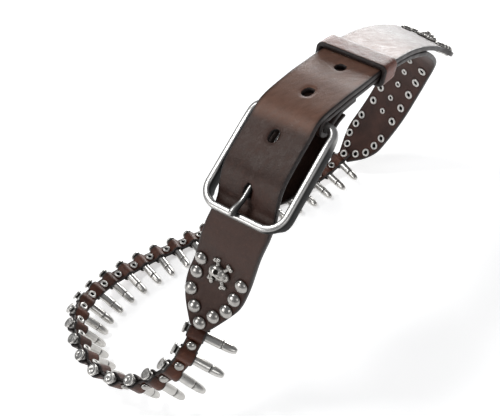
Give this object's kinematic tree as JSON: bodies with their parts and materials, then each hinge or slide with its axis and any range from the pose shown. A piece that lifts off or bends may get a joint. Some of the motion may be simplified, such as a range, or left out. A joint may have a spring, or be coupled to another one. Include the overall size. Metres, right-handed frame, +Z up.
{
  "type": "studded leather belt",
  "caption": "Buckled leather belt: two wide riveted straps joined by a narrow strip of cartridge-shaped studs, with a single-prong buckle, keeper and skull conchos.",
  "frame": {"origin": "on the floor, below the middle of the box around the buckled belt as it stands", "axes": "+X along the ring from the stud curl to the strap that holds the buckle, +Y from the buckle side to the far strip, +Z up"},
  "size_m": [0.352, 0.1933, 0.1988],
  "materials": {
    "billet_leather": "smooth, waxed, burnished edges",
    "strap_leather": "smooth outside, suede inside",
    "strip_leather": "smooth, reddish, creased",
    "stud_metal": "antiqued nickel, worn bright",
    "rivet_metal": "antiqued nickel, dark in the recesses",
    "concho_metal": "antiqued silver, dark in the recesses",
    "buckle_metal": "polished antiqued nickel"
  },
  "bodies": {
    "belt": {"billet_strap": "billet_leather", "buckle_strap": "strap_leather", "strip_outer_band": "strip_leather", "strip_inner_band": "strip_leather", "studs_near": "stud_metal", "studs_curl": "stud_metal", "studs_floor": "stud_metal", "strip_rivet_caps": "rivet_metal", "strip_rivet_rings": "rivet_metal", "billet_dome_rivets": "rivet_metal", "billet_rivet_rings": "rivet_metal", "tip_dome_rivets": "rivet_metal", "tip_rivet_rings": "rivet_metal", "strap_dome_rivets": "rivet_metal", "strap_rivet_rings": "rivet_metal", "strap_small_rivets": "rivet_metal", "strap_small_rings": "rivet_metal", "skull_conchos": "concho_metal", "concho_screws": "rivet_metal", "fold_rivets": "rivet_metal", "fold_rivet_caps": "rivet_metal", "buckle_underlay": "strap_leather", "underlay_tacks": "rivet_metal"},
    "frame": {"buckle_frame": "buckle_metal"},
    "prong": {"buckle_prong": "buckle_metal"},
    "keeper": {"keeper_loop": "strip_leather", "keeper_staple": "rivet_metal"}
  },
  "joints": [
    {"name": "buckle_hinge", "type": "hinge", "parent": "belt", "child": "frame", "pos_m": [-0.018, -0.054, 0.184], "axis": [-0.376, 0.9247, 0.06], "range_deg": [-0.2, 1]},
    {"name": "prong_hinge", "type": "hinge", "parent": "frame", "child": "prong", "pos_m": [-0.018, -0.054, 0.184], "axis": [-0.376, 0.9247, 0.06], "range_deg": [0, 1]},
    {"name": "keeper_slide", "type": "slide", "parent": "belt", "child": "keeper", "axis": [-0.8934, -0.4289, 0.1337], "range_m": [-0.006, 0.006]}
  ]
}
